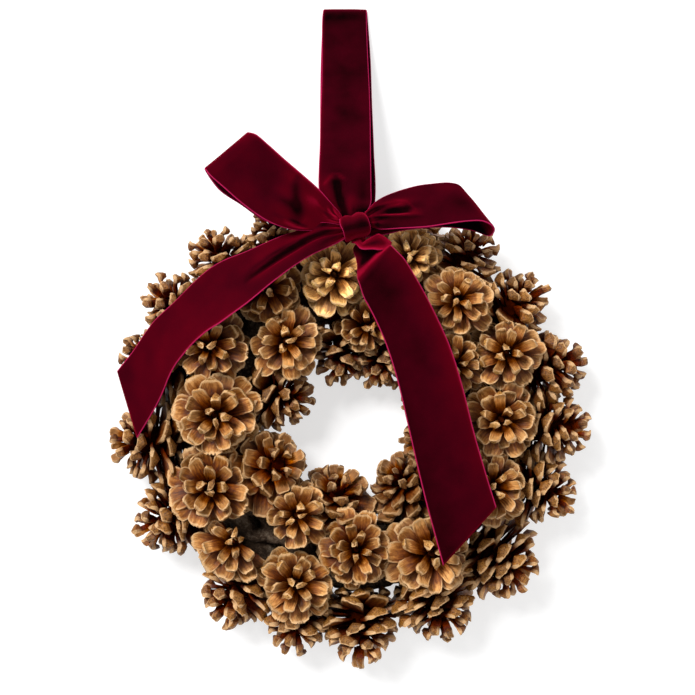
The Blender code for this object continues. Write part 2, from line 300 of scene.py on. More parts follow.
# The hanger goes on behind the ring, up inside it and over its front, at these angles round the
# ring's section.
HANGER_GAP = 2.4  # between the ribbon and the ring, inside and outside it
HANGER_RISE = 20.4  # above and below the middle of the ring
HANGER_WRAP = (248, 236, 222, 203, 180, 157, 135, 112, 90, 68, 45, 26)
LOOP_LEFT = (
    (-5, 142.5, 87, -6, 137, 86), (-7, 146, 88.5, -12.5, 135, 88),
    (-11.5, 151, 91, -23, 133.5, 90), (-20, 160.5, 94, -39.5, 134, 95),
    (-30.5, 169.5, 97, -54.5, 139, 99), (-42, 179, 100, -69.5, 149, 102.5),
    (-53.5, 189, 102, -83.5, 161, 105), (-61.5, 195.5, 103, -91.5, 168, 106),
    (-66.6, 197.1, 101.5, -95, 172.5, 104.5), (-66.6, 197.1, 98, -95, 171.5, 100.5),
    (-61, 195, 94, -92, 166.5, 96), (-53.5, 187.5, 90, -86, 159.5, 91.5),
    (-41.5, 178.5, 84, -74, 152, 85), (-29.5, 169, 79, -55.5, 140.5, 79),
    (-19, 155.5, 77, -30.5, 136.5, 77), (-8, 143, 79, -6.5, 137.5, 79),
)
LOOP_RIGHT = (
    (10, 146.5, 86, 14, 137, 86), (18, 154.5, 84, 21, 134.5, 91),
    (30.5, 160.5, 82, 33.5, 134.5, 95), (45.5, 165, 81, 49, 135, 98),
    (58.5, 166.5, 82, 65, 137, 100), (67.5, 166.5, 84, 78, 138.5, 101.5),
    (73, 165, 85, 87, 138.5, 102), (76.5, 161.5, 84, 93.5, 136, 100.5),
    (77.5, 161, 80, 96, 133.5, 97), (74.5, 163, 76, 95.5, 131, 92), (67.5, 164, 73, 93, 130, 88),
    (56.5, 163.5, 71, 82, 134.5, 83), (43, 161, 70, 64, 137, 79), (27.5, 156, 72, 39.5, 135.5, 77),
    (16, 149, 74, 22, 131.5, 78), (9, 145, 76, 10, 130, 78),
)
TAIL_LEFT = (
    (-7, 137.5, 89, -3, 128.5, 88), (-12.5, 138.5, 90, -8.5, 125, 91),
    (-19, 139, 90.5, -14.5, 122, 93.5), (-27, 137, 88.5, -25, 117, 95),
    (-35.5, 134, 86, -35.5, 110.5, 95.5), (-46.5, 130.5, 83.5, -45, 103.5, 95.5),
    (-57, 126.5, 81, -55.5, 95.5, 95), (-72.5, 120, 77.5, -67, 86, 93),
    (-85.5, 115.5, 74, -77.5, 78.5, 90.5), (-95, 110.5, 71.5, -87, 72, 87),
    (-105, 102.5, 69, -97.5, 65.5, 83), (-121, 87.5, 64.5, -110, 54.5, 77),
    (-137.5, 72.5, 60, -122, 39.5, 70), (-151.5, 53.5, 56, -132.5, 17.5, 64),
    (-163.5, 39, 53, -148.5, -8, 57),
)
TAIL_RIGHT = (
    (2, 129, 86, 1.5, 125.5, 88), (4.5, 128.5, 90, 4, 124.5, 93), (7, 128, 90, 6.5, 121.5, 96),
    (8.5, 125, 92, 9, 120.5, 97), (11, 127, 92, 13, 120.5, 97), (14.5, 129, 92, 16, 120.5, 97.5),
    (19, 131.5, 90, 19.5, 120, 97), (23.5, 129.5, 89, 23.5, 120.5, 95),
    (28, 126, 87, 27, 122.5, 92), (24.5, 127.5, 79, 27.5, 123.5, 89),
    (16, 128, 73, 27.5, 123.5, 90), (6.5, 127.5, 70, 27.5, 123.5, 91),
    (2.5, 123.5, 71, 27.5, 123, 93), (4, 117, 76, 27.5, 123, 95), (5, 110.5, 84, 27.5, 123, 97),
    (5, 105, 91.5, 27.5, 123, 98.5), (5, 101.5, 96, 27.5, 123, 99), (6, 98.5, 98, 30, 120.5, 98.5),
    (9, 89, 98, 36, 114.5, 97.5), (13, 81.5, 98, 42.5, 104.5, 96), (18, 71.5, 98, 49.5, 92.5, 95),
    (24.5, 56, 97.5, 58.5, 75, 94), (31.5, 33.5, 97, 67.5, 54.5, 93.5),
    (38, 6, 96.5, 75.5, 28.5, 93.5), (44.5, -22.5, 96, 82.5, 0.5, 94),
    (51.5, -51, 95.5, 90, -26, 94.5), (62, -89.5, 95, 97.5, -50.5, 95),
)
KNOT = (
    (-6.5, 141, 76, 8.5, 145, 76), (-7.5, 141.5, 84, 8, 146.5, 84), (-7, 141, 92, 10, 145, 92),
    (-6.5, 137, 98, 12, 141.5, 98), (-4.5, 132.5, 100, 13.5, 136.5, 100),
    (-3.5, 128.5, 97, 14, 133, 97), (-3, 127, 90, 12.5, 131, 90), (-2.5, 127.5, 81, 11, 132, 81),
    (-3, 131, 75.5, 10.5, 136, 75.5), (-5, 136, 74, 9.5, 140, 74),
)


def velvet_material():
    """Burgundy pile, near black seen straight on, with painted crimson sheen where it turns away
    and painted highlights on its edges.
    """
    material, node = new_material("burgundy velvet ribbon")
    place = node("TexCoord").outputs["Object"]
    across, nap = (node("Attribute", attribute_name=label).outputs["Fac"]
                   for label in ("across", "nap"))
    # Pile pressed this way and that in patches 15 to 20 mm across, and its tufts at 0.4 mm.
    pressed_pile_and_painted_light = node("TexNoise", Vector=place, Scale=55, Detail=2, Roughness=0.5)
    tufts = node("TexNoise", Vector=place, Scale=2400, Detail=2, Roughness=0.6)
    stroke = node("MapRange", pressed_pile_and_painted_light, 0.3, 0.7, -0.06, 0.08)
    grainy = node("MapRange", tufts, 0.3, 0.7, -0.06, 0.06)
    lit = nap
    for more in (stroke, grainy):
        lit = node("Math ADD", lit, more)
    # Below zero is painted shadow, as where a fold turns the pile away from the light.
    lit = node("MapRange", lit, -0.3, 1)
    pile = steps(node("ValToRGB", lit), ((0, VELVET_SHADOW), (0.23, VELVET_DEEP),
                                         (0.5, VELVET_MIDDLE), (1, VELVET_LIT)))
    # Painted highlight: a thin bright line along both edges, where the pile is seen edge-on.
    edge = node("Math ABSOLUTE", across)
    edge = node("MapRange", edge, 0.958, 0.982)
    # Inputs 6 and 7 of a colour mix are its two colours.
    coloured = node("Mix", Factor=edge, numbered={6: pile, 7: linear(PAINTED_EDGE_SHEEN)}, data_type="RGBA")
    bump = node("Bump", Strength=0.25, Distance=0.0002, Height=tufts)
    shader = node("BsdfPrincipled", Base_Color=coloured.outputs[2], Roughness=0.9, IOR=1.4,
                  Specular_IOR_Level=0.02, Sheen_Weight=0.18, Sheen_Roughness=0.35,
                  Sheen_Tint=linear("#c80c48"), Normal=bump)
    node("OutputMaterial", shader)
    return material


def spots(table, s, u):
    """What soft round spots add up to at a distance along and a place across."""
    return sum(rise * math.exp(-(((s - at) / reach) ** 2) - ((u - where) / spread) ** 2)
               for at, where, reach, spread, rise in table)


def streaks(table, s, u, sharp, fade):
    """What lines add up to there: sharp shapes how they fall off across, and fade along."""
    total = 0.0
    for start, end, first, last, spread, rise in table:
        share = (s - start) / (end - start)
        if 0 < share < 1:
            off = abs(u - first - (last - first) * share) / spread
            total += rise * math.exp(-(off ** sharp)) * math.sin(math.pi * share) ** fade
    return total


def ribbon(name, node, stations, painted_lift, closed=False, dents=(), creases=(), gathers=(), pressed_pile_and_painted_light=(),
           painted_light_lines=()):
    """A strip of ribbon through its stations, as a closed skin with rolled woven edges.

    The lay is painted light: how much brighter the whole strip is painted, and how that changes
    across it. A dent has a distance along the middle, a place across from -1 to 1, its reach along
    and across, and its height. A crease starts and ends at two distances along, with a place
    across at each, how far it spreads across, and its height. Gathers are pleats that fade out,
    with a distance along, their reach, pleats across, and height. Brushed spots and strokes are
    painted light and shade, given like dents and creases, with how much brighter they are painted
    for a height. Distances, reaches along and heights are in millimetres.
    """
    pairs = [(Vector(row[:3]), Vector(row[3:])) for row in stations]
    if closed:
        pairs.append(pairs[0])
    middles = [(left + right) / 2 for left, right in pairs]
    marks = [0.0]
    for one, other in zip(middles, middles[1:]):
        marks.append(marks[-1] + (other - one).length)

    def tangent(k, edge):
        """How an edge runs at a station, per millimetre along the middle."""
        before, after = k - 1, k + 1
        span = marks[min(after, len(pairs) - 1)] - marks[max(before, 0)]
        if closed and k in (0, len(pairs) - 1):
            before, after = len(pairs) - 2, 1
            span = marks[1] + marks[-1] - marks[-2]
        before, after = max(before, 0), min(after, len(pairs) - 1)
        return (pairs[after][edge] - pairs[before][edge]) / max(span, 1e-6)

    tangents = [(tangent(k, 0), tangent(k, 1)) for k in range(len(pairs))]
    lines = []
    for k in range(len(pairs) - 1):
        gap = marks[k + 1] - marks[k]
        count = max(2, round(gap / RIBBON_STEP))
        for step in range(count + (0 if closed or k < len(pairs) - 2 else 1)):
            t = step / count
            ends = []
            for edge in (0, 1):
                a, b = pairs[k][edge], pairs[k + 1][edge]
                ta, tb = tangents[k][edge] * gap, tangents[k + 1][edge] * gap
                ends.append((2 * t ** 3 - 3 * t * t + 1) * a + (t ** 3 - 2 * t * t + t) * ta
                            + (3 * t * t - 2 * t ** 3) * b + (t ** 3 - t * t) * tb)
            lines.append((marks[k] + gap * t, *ends))

    places = (-1.0, -0.985, -0.955, -0.92) + tuple(-0.84 + 0.07 * k for k in range(12))
    places = places + (0.0,) + tuple(-u for u in reversed(places))
    count = len(lines)

    def beside(items, n):
        """The items before and after one, round the join if the ribbon is closed."""
        if closed:
            return items[(n - 1) % count], items[(n + 1) % count]
        return items[max(n - 1, 0)], items[min(n + 1, count - 1)]

    grid = []
    for n, (s, left, right) in enumerate(lines):
        a, b = beside(lines, n)
        forward = (b[1] + b[2] - a[1] - a[2]).normalized()
        up = (right - left).cross(forward).normalized()
        row = []
        for u in places:
            point = left.lerp(right, (u + 1) / 2)
            height = 0.35 * noise.noise(Vector((s / 17, u * 1.1, len(name))))
            height += spots(dents, s, u) + streaks(creases, s, u, 1, 0.7)
            for at, reach, pleats, rise in gathers:
                fade = math.exp(-(((s - at) / reach) ** 2))
                height += rise * fade * math.sin(math.pi * pleats * u + 1.2)
            row.append(point + up * height)
        grid.append(row)

    mesh = bmesh.new()
    across = mesh.verts.layers.float.new("across")
    painted_light = mesh.verts.layers.float.new("painted_light")
    rings = []
    for n, row in enumerate(grid):
        a, b = beside(grid, n)
        top, bottom = [], []
        for k, u in enumerate(places):
            sideways = row[min(k + 1, len(row) - 1)] - row[max(k - 1, 0)]
            up = sideways.cross(b[k] - a[k]).normalized()
            half = RIBBON_THICKNESS / 2 * math.sqrt(max(0.12, 1 - (abs(u) / 1.003) ** 40))
            # Light and shade painted on the pile at this place.
            lean = painted_lift[0] + painted_lift[1] * u + spots(pressed_pile_and_painted_light, lines[n][0], u)
            lean += streaks(painted_light_lines, lines[n][0], u, 2, 0.5)
            for line, offset in ((top, half), (bottom, -half)):
                vertex = mesh.verts.new(WREATH_CENTRE + (row[k] + up * offset) * MM)
                vertex[across] = u
                vertex[painted_light] = lean
                line.append(vertex)
        rings.append(top + bottom[::-1])
    strips(mesh, rings + rings[:1] if closed else rings)
    if not closed:
        half = len(places)
        for ring, flip in ((rings[0], False), (rings[-1], True)):
            for k in range(half - 1):
                corners = (ring[k], ring[k + 1], ring[-2 - k], ring[-1 - k])
                mesh.faces.new(corners if flip else corners[::-1])
    bmesh.ops.recalc_face_normals(mesh, faces=mesh.faces)
    # Painted sheen and shade: the more the ribbon tilts from lying flat, the brighter its pile is
    # painted, with the painted light and shade of each place added.
    nap = mesh.verts.layers.float.new("nap")
    mesh.normal_update()
    for vertex in mesh.verts:
        tilt = math.acos(min(abs(vertex.normal.z), 1.0))
        vertex[nap] = min(max((tilt - 0.06) / 1.1 + vertex[painted_light], -0.3), 1)
    for facet in mesh.faces:
        facet.smooth = True
    made = solid(name, mesh, velvet)
    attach(made, "root")
    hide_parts(node)
    velvet_pieces[name] = made, marks[-1] * MM


velvet = velvet_material()
hanger = list(HANGER)
for angle in map(math.radians, HANGER_WRAP):
    y = VINE_RING_RADIUS + (VINE_HALF_WIDTH + HANGER_GAP) * math.cos(angle)
    height = max(VINE_MIDDLE + HANGER_RISE * math.sin(angle), RIBBON_BACK)
    hanger.append((-14, y, height, 10, y, height))
velvet_pieces = {}
# The brushed spots and strokes of these ribbons are painted light and shade: dark pockets and
# shadows in the folds, bright lips and lit strips.
ribbon(
    "hanging_ribbon", "hanging_loop", hanger, (-0.4, 0), closed=True,
    dents=[(34, -0.27, 11, 0.22, -3), (18, -0.2, 8, 0.26, -2.8), (26, 0.25, 9, 0.16, 1.2)],
    gathers=[(0, 12, 3, 1.2), (520, 60, 3, 1.2)],
    pressed_pile_and_painted_light=[(13, -0.35, 6, 0.35, -0.4), (24, 0.22, 8, 0.15, 0.22), (30, 0.66, 12, 0.18, -0.12),
             (38, -0.82, 14, 0.14, 0.16), (100, 0, 50, 0.6, -0.12), (150, -0.96, 150, 0.05, 0.4),
             (430, 0.9, 90, 0.3, 1.05), (30, -0.66, 12, 0.2, 0.2)],
    painted_light_lines=[(38, 50, -0.82, -0.45, 0.1, 0.42), (44, 51, 0.02, -0.36, 0.1, 0.36),
             (9, 45, -0.12, -0.34, 0.18, -0.9)])
ribbon(
    "bow_left_loop", "bow_loop_left", LOOP_LEFT, (-0.03, 0),
    dents=[(38, 0.1, 12, 0.42, -4.2), (27, -0.65, 9, 0.22, 1.2), (70, 0, 16, 0.6, 1.2),
           (150, 0, 16, 0.5, -1.5)],
    creases=[(2, 24, -0.45, -0.55, 0.1, 1.3), (2, 20, 0.1, -0.2, 0.1, 1.1),
             (18, 42, 0.8, 0.72, 0.08, -1.6)],
    gathers=[(0, 11, 3, 0.9), (186, 16, 3, 1.1)],
    pressed_pile_and_painted_light=[(33, 0.1, 9, 0.3, -0.35), (47, -0.72, 9, 0.22, 0.2), (25, -0.5, 5, 0.3, 0.2),
             (22, 0.97, 9, 0.07, -0.4), (50, -0.96, 42, 0.06, 0.4), (80, -0.1, 16, 0.7, -0.08),
             (86, 0, 3, 3, 0.22), (110, 0, 18, 3, -0.45)],
    painted_light_lines=[(24, 46, 0.55, -0.75, 0.3, -0.55), (16, 35, 0.9, 0.72, 0.05, 0.5),
             (18, 32, 0.76, 0.58, 0.08, -0.45), (1, 15, -0.1, -0.7, 0.09, 0.5),
             (1, 12, -0.5, -0.93, 0.08, 0.5), (1, 13, -0.3, -0.82, 0.06, -0.55),
             (1, 16, 0.2, -0.45, 0.08, -0.35)])
ribbon(
    "bow_right_loop", "bow_loop_right", LOOP_RIGHT, (-0.46, 0),
    dents=[(22, 0.1, 10, 0.2, -2.2), (62, -0.3, 14, 0.5, 1.2)],
    creases=[(2, 38, 0.1, 0.48, 0.12, 1.8), (2, 22, -0.55, -0.4, 0.1, 0.9)],
    gathers=[(0, 10, 3, 0.8), (160, 16, 3, 1.1)],
    pressed_pile_and_painted_light=[(23, -0.32, 9, 0.2, 0.42), (14, -0.45, 8, 0.25, 0.2), (3, 0.3, 1.2, 0.5, 0.3),
             (6, 0.72, 1.5, 0.22, -0.5), (5, -0.9, 8, 0.12, 0.2), (60, -0.75, 12, 0.18, 0.12),
             (76, 0, 3, 3, 0.2), (100, 0, 22, 3, -0.45), (160, 0.8, 14, 0.4, 0.35)],
    painted_light_lines=[(4, 30, 0.02, 0.4, 0.055, 0.5), (18, 28, -0.62, -0.38, 0.07, 0.24),
             (27, 34, -0.4, 0.15, 0.08, 0.26), (13, 27, -0.36, -0.22, 0.06, 0.22),
             (13, 30, -0.04, 0.18, 0.11, -0.8)])
ribbon(
    "bow_left_tail", "ribbon_tail_left", TAIL_LEFT, (-0.25, 0),
    dents=[(34, -0.15, 30, 0.3, -2), (90, 0, 30, 0.6, 0.9)],
    creases=[(4, 74, 0.05, 0.2, 0.14, 2.6), (30, 70, -0.3, -0.1, 0.1, 0.8)],
    gathers=[(0, 10, 3, 0.8)],
    pressed_pile_and_painted_light=[(30, -0.2, 22, 0.22, -0.36), (8, 0.1, 6, 0.5, -0.15), (60, 0.7, 26, 0.45, -0.14),
             (60, 0.2, 34, 0.6, -0.14), (110, -0.1, 30, 0.5, -0.06), (185, 0, 40, 2, 0.1),
             (100, 0.97, 90, 0.05, 0.4)],
    painted_light_lines=[(4, 72, 0.05, 0.2, 0.05, 0.34), (6, 66, -0.08, 0.06, 0.06, -0.3)])
ribbon(
    "bow_right_tail", "ribbon_tail_right", TAIL_RIGHT, (0, 0.12),
    dents=[(127, -0.1, 26, 0.5, 0.8), (212, 0.1, 40, 0.6, 0.7)],
    pressed_pile_and_painted_light=[(56, -0.5, 9, 0.5, -0.9), (70, -0.65, 1.2, 0.35, 0.25), (20, 0.1, 9, 0.45, -0.55),
             (30, 0, 2.5, 9, 0.2), (3, 0, 3, 3, -0.3), (112, -0.2, 30, 0.6, -0.14),
             (90, -0.1, 12, 0.6, -0.1), (162, 0.85, 60, 0.25, 0.1), (170, 0.97, 90, 0.05, 0.3)],
    painted_light_lines=[(4, 34, 0.93, 0.93, 0.1, 1.1), (4, 34, -0.93, -0.93, 0.1, 0.9),
             (36, 70, 0.95, 0.95, 0.07, 0.5), (46, 66, 0.9, -0.6, 0.42, -1.9),
             (53, 70, 1.05, -0.34, 0.045, 0.55)])
ribbon(
    "bow_knot_wrap", "bow_knot", KNOT, (-0.4, 0), closed=True,
    gathers=[(12, 22, 2, 0.5)],
    pressed_pile_and_painted_light=[(9, 0, 1.6, 9, 0.4), (16, -0.2, 6, 0.6, -0.2), (27, 0.3, 6, 0.6, -0.2),
             (20, -0.97, 14, 0.07, 0.5), (20, 0.97, 14, 0.07, 0.6), (20, -0.7, 12, 0.15, -0.2)])
made, length = velvet_pieces["hanging_ribbon"]
for name in ("bow_left_loop", "bow_right_loop"):
    made, length = velvet_pieces[name]
for name, under in (("bow_left_tail", "pine_outer_cone_14"),
                    ("bow_right_tail", "pine_front_cone_06")):
    made, length = velvet_pieces[name]
made, length = velvet_pieces["bow_knot_wrap"]


# ----------------------------------------
# Pine cones. Real pieces: whole dry cones, opened wide, hot-glued to the ring at the stem end.
# Woody scales grow round a core at the golden angle; each ends in a thick, paler plate.
# ----------------------------------------
SCALE_LENGTH = 20.0
SCALE_WIDTH = 13.6
DRAWN_REACH = 25.5  # from the axis to the scale tips of a cone whose scales are that wide
GOLDEN_ANGLE = math.radians(137.508)
SEAT_RING = (99.0, 25.0, 18.0)  # radius, half width and half height of the ring cones sit on
SEAT_LIFT = 1.5  # from the ring to where a cone starts
OUTER_SEAT = 18  # the outer cones' angle round the ring's section
TABLE_CLEARANCE = 0.4
BOW_CLEARANCE = 0.8  # between the bow and the scales tucked under it
# Clock angle, radius and height of the tip, and diameter, in millimetres, then tone: how pale
# the cone is, 0 for plain brown, with -2 for the darkest and 4 for the palest. The tone is partly
# the cone's own colour and partly painted light and shade: the inner cones are darkened with
# painted shade, and front_cone_01 below the knot is lifted with painted light against the bow's
# shade.
OUTER_ROW = (
    (17, 172, 33, 49, -1.15), (35, 173, 36, 51, -1.05), (54, 174, 34, 53, -0.95),
    (74, 179, 33, 52, -1.35), (91, 176, 37, 51, -1.05), (109, 173, 34, 51, -0.95),
    (132, 173, 36, 58, -0.75), (154, 170, 38, 56, -0.85), (177, 174, 37, 56, -0.75),
    (195, 172, 34, 51, -1.05), (214, 174, 33, 51, -1.05), (242, 173, 36, 53, -1.15),
    (265, 174, 37, 56, -1.15), (288, 176, 33, 51, -1.35), (304, 178, 34, 51, -1.25),
    (322, 178, 33, 51, -1.05), (339, 169, 33, 49, -1.45),
)
# The next two rows are the same, with the seat's clock angle and its angle round the ring's
# section (0 outermost, 90 at the front, 180 innermost) before the diameter.
FRONT_ROW = (
    (354, 109, 86, 355, 86, 51, 3.6), (19, 127, 78, 20, 25, 44, 2.8),
    (39, 116, 84, 42, 48, 48, 0.6), (64, 121, 84, 66, 28, 51, 0.4), (87, 104, 86, 87, 71, 52, 0.3),
    (110, 107, 86, 116, 71, 50, 0.1), (145, 103, 86, 150, 77, 57, 0.5),
    (176, 82, 86, 178, 115, 49, -0.3), (199, 112, 84, 199, 38, 50, 0.4),
    (210, 68, 82, 212, 150, 46, 0.5), (227, 109, 82, 223, 26, 50, 0.4),
    (247, 103, 86, 246, 72, 56, -0.5), (275, 91, 88, 276, 97, 56, 0.0),
    (299, 112, 83, 302, 58, 51, -0.4), (324, 73, 83, 323, 150, 52, 0.4),
    (329, 114, 86, 330, 66, 48, -0.3), (14, 68, 71, 4, 150, 40, 0.2),
    (60, 84, 76, 59, 117, 42, 0.0),
)
INNER_ROW = (
    (347, 27, 33, 357, 163, 44, -1.7), (42, 33, 33, 20, 163, 42, -1.4),
    (73, 44, 38, 73, 160, 44, -1.8), (103, 40, 36, 103, 163, 44, -1.6),
    (135, 39, 49, 139, 158, 47, -1.7), (191, 31, 51, 191, 158, 50, -1.5),
    (243, 46, 69, 241, 142, 49, -1.4), (297, 29, 36, 291, 163, 47, -1.6),
)


def scale_shape(name, width, belly, dish, depth, curl, hook, uneven, notch, twist, stem, thick):
    """One woody scale, stalk at the origin and pointing along +X, its upper face towards +Z.

    A flat blade widens to a blunt end. Its upper face is dished inside a rounded lip, and under
    the end sits the thick faceted plate, stepped off the blade and deepest on a keel. Curl bends
    the whole scale up and hook only its end, uneven pulls one corner of the end back, notch
    lobes the end, and twist turns it. Stem is the stalk's share of the width: a wide stalk makes a
    strap with a square end. Thick multiplies the blade's thickness.
    """
    stations = (0.0, 0.25, 0.48, 0.59, 0.66, 0.82, 0.93, 1.0)
    upper = [-1 + 2 * k / 6 for k in range(7)]
    lower = (0.96, 0.5, 0.0, -0.5, -0.96)
    plates = (0.0, 0.0, 0.1, 0.35, 2.3, 2.9, 2.0, 0.5)
    mesh = bmesh.new()
    layers = [mesh.verts.layers.float.new(kind) for kind in ("along", "side", "across")]
    grid = []
    for v, plate in zip(stations, plates):
        spread = stem + (1 - stem) * math.sin(min(v / belly, 1.0) * math.pi / 2) ** 1.2
        end = max(0.0, (v - 0.78) / 0.22)
        half = width / 2 * spread * math.sqrt(1.0 - (1.26 - 0.84 * stem) * end ** 2.4)
        hollow = dish * min(v / 0.6, 1.0) * (1.0 - 0.8 * end)
        lip = 0.6 * math.exp(-(((v - 0.94) / 0.07) ** 2))
        blade = thick * (1.2 + 0.9 * min(v / 0.6, 1.0) - 0.5 * end ** 2)
        spine = (curl * v ** 2 + 0.05 * math.sin(v * math.pi)) * SCALE_LENGTH
        spine += 3.0 * hook * end ** 1.5
        line = []
        for face, sides in ((1.0, upper), (-1.0, lower)):
            for u in sides:
                x = v * SCALE_LENGTH - 0.5 * uneven * end * (1 + u) ** 2
                x -= notch * end * math.cos(3.0 * math.pi * u)
                if face > 0:
                    z = spine - hollow * (1 - u * u) + lip * (1 - 0.5 * u * u)
                else:
                    z = spine - blade * (1 - 0.3 * u * u)
                    z -= depth * plate * (1 - 0.85 * abs(u))
                z += twist * u * half * v
                vertex = mesh.verts.new((x * MM, u * half * MM, z * MM))
                for layer, value in zip(layers, (v, face, u)):
                    vertex[layer] = value
                line.append(vertex)
        grid.append(line)
    strips(mesh, grid)
    mesh.faces.new(reversed(grid[0]))
    mesh.faces.new(grid[-1])
    bmesh.ops.recalc_face_normals(mesh, faces=mesh.faces)
    for facet in mesh.faces:
        facet.smooth = True
    # The rim down both sides and round the end is crisp, and so is every facet of the plate.
    along, side, across = layers
    for edge in mesh.edges:
        first, second = edge.verts
        rim = first[side] == second[side] and abs(first[across]) > 0.9 < abs(second[across])
        tip = min(first[along], second[along]) > 0.99
        facet = first[side] + second[side] < 0 and min(first[along], second[along]) > 0.55
        edge.smooth = not (rim or tip or facet)
    return solid(name, mesh)


def cone_material():
    """Dry open pine-cone wood: satin tan ends, dark brown stalks deepened by painted shade, pale
    rims that are partly wear and partly painted highlight.
    """
    material, node = new_material("dry pine cone wood")
    along, side, across, tier, pick, tone = (
        node("Attribute", attribute_name=label).outputs["Fac"]
        for label in ("along", "side", "across", "tier", "pick", "tone"))
    place = node("TexCoord").outputs["Object"]

    # Grain runs along each scale, in streaks about 1.5 mm apart and 10 mm long.
    wide = node("Math MULTIPLY", across, 3.4)
    long = node("Math MULTIPLY", along, 1.6)
    own = node("Math MULTIPLY", pick, 91)
    grain_place = node("CombineXYZ", wide, long, own)
    grain = node("TexNoise", Vector=grain_place, Scale=1.3, Detail=4, Roughness=0.65)
    # Blotches 3 to 5 mm across, and flecks under 1 mm on the end plates.
    blotch = node("TexNoise", Vector=place, Scale=230, Detail=4, Roughness=0.6)
    fleck = node("TexNoise", Vector=place, Scale=1100, Detail=3, Roughness=0.7)

    shift = node("MapRange", blotch, 0.3, 0.7, -0.1, 0.1)
    waver = node("MapRange", grain, 0.3, 0.7, -0.12, 0.12)
    both = node("Math ADD", shift, waver)
    # The young scales in a cone's middle are pale for more of their length.
    young = node("MapRange", tier, 0.7, 1, 0, 0.32)
    # Dark cones are an even brown, without the dark stalks of the pale ones.
    even = node("MapRange", tone, -1.8, -0.4, 0.16, 0)
    run = along
    for more in (both, young, even):
        run = node("Math ADD", run, more)
    # Darker towards the stalk: partly the wood's own dark brown and partly painted shade in the
    # deep gaps between the scales.
    top = steps(node("ValToRGB", run),
                ((0, "#4a2618"), (0.12, "#200d07"), (0.32, "#3c1a0d"), (0.5, "#562a14"),
                 (0.66, "#7a4829"), (0.82, "#a06c41"), (0.96, "#cd9b68")))
    little = node("Math MULTIPLY_ADD", both, 0.16, along)
    under = steps(node("ValToRGB", little),
                  ((0, "#4a2418"), (0.14, "#4c2517"), (0.38, "#6e3824"), (0.585, "#6c3620"),
                   (0.615, "#80502f"), (0.8, "#a06e46"), (1, "#c4965f")))
    speck = node("MapRange", fleck, 0.48, 0.6)
    specked = node("Mix", Factor=speck, numbered={6: under, 7: linear("#8c6c4a")},
                   data_type="RGBA", blend_type="MULTIPLY")
    is_top = node("MapRange", side, -0.2, 0.2)
    body = node("Mix", Factor=is_top, numbered={6: specked.outputs[2], 7: top}, data_type="RGBA")

    # The thin rim is pale on both long edges and round the end: partly real wear and partly a
    # painted highlight where the edge catches the light.
    edge = node("Math ABSOLUTE", across)
    edge = node("MapRange", edge, 0.84, 0.9)
    outer = node("MapRange", along, 0.6, 0.85)
    edge = node("Math MULTIPLY", edge, outer)
    lip = node("MapRange", little, 0.92, 0.96)
    brink = node("MapRange", side, 0, 0.6)
    lip = node("Math MULTIPLY", lip, brink)
    rim = node("Math MAXIMUM", edge, lip)
    patchy_wear_and_glint = node("MapRange", fleck, 0.36, 0.58, 0.45, 1)

    # Each scale and each cone is a little paler or darker than the next. The cones' tone also
    # carries their painted light and shade.
    lift = node("MapRange", pick, 0, 1, 0.72, 1.2)
    cast = node("MapRange", tone, -2.6, 4, 0.12, 2.1)
    streak = node("MapRange", grain, 0.35, 0.65, 0.78, 1.16)
    # Painted light: the stalks of dark cones are lifted, beside their own tips, more than those of
    # pale ones, brightening the deep gaps between their scales.
    stalks = node("MapRange", tone, -1.4, -0.4, 2.3, 1)
    stalks = node("MapRange", along, 0.2, 0.72, stalks, 1)
    bright = lift
    for more in (cast, streak, stalks):
        bright = node("Math MULTIPLY", bright, more)
    depth = node("MapRange", tone, -1, 2, 1.18, 1.02)
    hue = node("MapRange", tone, -1.5, 3.6, 0.4895, 0.516)
    cast_wood = node("HueSaturation", Hue=hue, Saturation=depth, Value=bright,
                     Color=body.outputs[2])
    rim_by_tone = node("MapRange", tone, -1.8, 0, 0.62, 1)
    for less in (patchy_wear_and_glint, rim_by_tone):
        rim = node("Math MULTIPLY", rim, less)
    # The rim's pale colour is partly worn wood and partly painted highlight.
    final = node("Mix", Factor=rim, numbered={6: cast_wood, 7: linear("#e4ba86")},
                 data_type="RGBA")

    relief = node("Math ADD", grain, fleck)
    bump = node("Bump", Strength=0.8, Distance=0.0007, Height=relief)
    gloss = node("MapRange", blotch, 0.3, 0.7, 0.36, 0.62)
    polish = node("MapRange", along, 0.35, 0.7, 0, 0.45)
    shader = node("BsdfPrincipled", Base_Color=final.outputs[2], Roughness=gloss, IOR=1.5,
                  Specular_IOR_Level=polish, Normal=bump)
    node("OutputMaterial", shader)
    return material


def curve_points(node, points):
    """Gives a float curve its points."""
    curve = node.mapping.curves[0]
    while len(curve.points) < len(points):
        curve.points.new(0.5, 0.5)
    for spot, (x, y) in zip(curve.points, points):
        spot.location = (x, y)
        spot.handle_type = "AUTO_CLAMPED"
    node.mapping.update()
    return node


